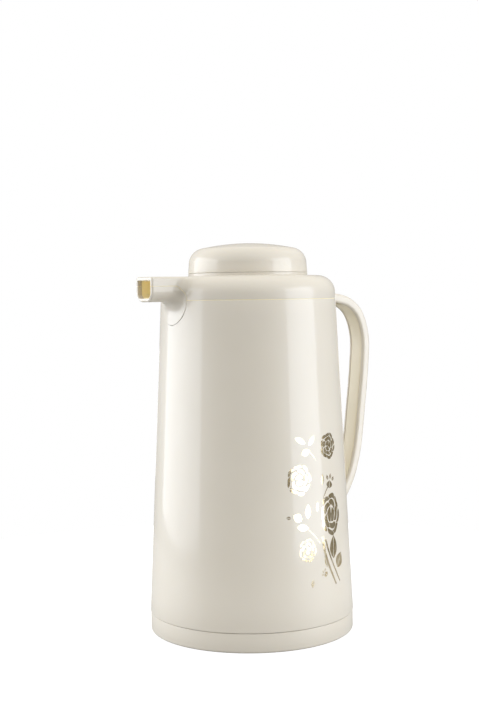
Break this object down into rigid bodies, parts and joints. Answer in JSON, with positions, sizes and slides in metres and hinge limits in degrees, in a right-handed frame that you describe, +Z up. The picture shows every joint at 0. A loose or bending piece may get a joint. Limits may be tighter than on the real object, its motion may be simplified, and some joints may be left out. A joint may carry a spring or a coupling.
{
  "type": "vacuum jug",
  "caption": "Glass-lined vacuum jug with a tapered plastic case, pouring spout, strap handle and a domed turning stopper that lifts out.",
  "frame": {"origin": "centre of the underside, on the surface the jug stands on", "axes": "+Z up, spout towards -X, handle towards +X"},
  "size_m": [0.1866, 0.1444, 0.2727],
  "materials": {
    "ivory_plastic": "semi-gloss pearl ivory",
    "beige_plastic": "satin beige",
    "amber_plastic": "satin amber",
    "inner_plastic": "natural satin",
    "silvered_glass": "silvered mirror",
    "silicone": "matte",
    "steel": "bright",
    "foam": "cellular white"
  },
  "bodies": {
    "root": {"outer_case": "ivory_plastic", "base_ring": "ivory_plastic", "shoulder_ring": "ivory_plastic", "spout_trough": "ivory_plastic", "spout_gasket": "silicone", "spout_lining": "amber_plastic", "seam_strip_front": "amber_plastic", "seam_strip_back": "amber_plastic", "glass_liner": "silvered_glass", "neck_gasket": "silicone", "liner_support": "inner_plastic", "liner_cushion": "silicone", "bottom_cover": "ivory_plastic", "bottom_gasket": "silicone", "handle_shell": "ivory_plastic", "handle_inner_cover": "beige_plastic", "handle_top_screw": "steel", "handle_bottom_screw": "steel"},
    "stopper": {"stopper_housing": "amber_plastic", "stopper_gasket": "silicone", "well_seal": "silicone"},
    "knob": {"knob_cap": "ivory_plastic", "knob_hub": "inner_plastic", "knob_screw_1": "steel", "knob_screw_2": "steel", "knob_screw_3": "steel", "retaining_clip": "steel", "cap_insulation": "foam"},
    "valve": {"valve_stem": "inner_plastic", "stem_oring": "silicone", "valve_disc": "inner_plastic", "valve_seal": "silicone", "valve_screw": "steel"}
  },
  "joints": [
    {"name": "stopper_lift_out", "type": "slide", "parent": "root", "child": "stopper", "axis": [0, 0, 1], "range_m": [0, 0.07]},
    {"name": "knob_turn", "type": "hinge", "parent": "stopper", "child": "knob", "pos_m": [0, 0, 0.2495], "axis": [0, 0, 1], "range_deg": [0, 180]},
    {"name": "valve_lift", "type": "slide", "parent": "stopper", "child": "valve", "axis": [0, 0, 1], "range_m": [0, 0.006]}
  ],
  "couplings": [
    {"joint": "valve_lift", "follows": "knob_turn", "m_per_rad": 0.0019098}
  ]
}
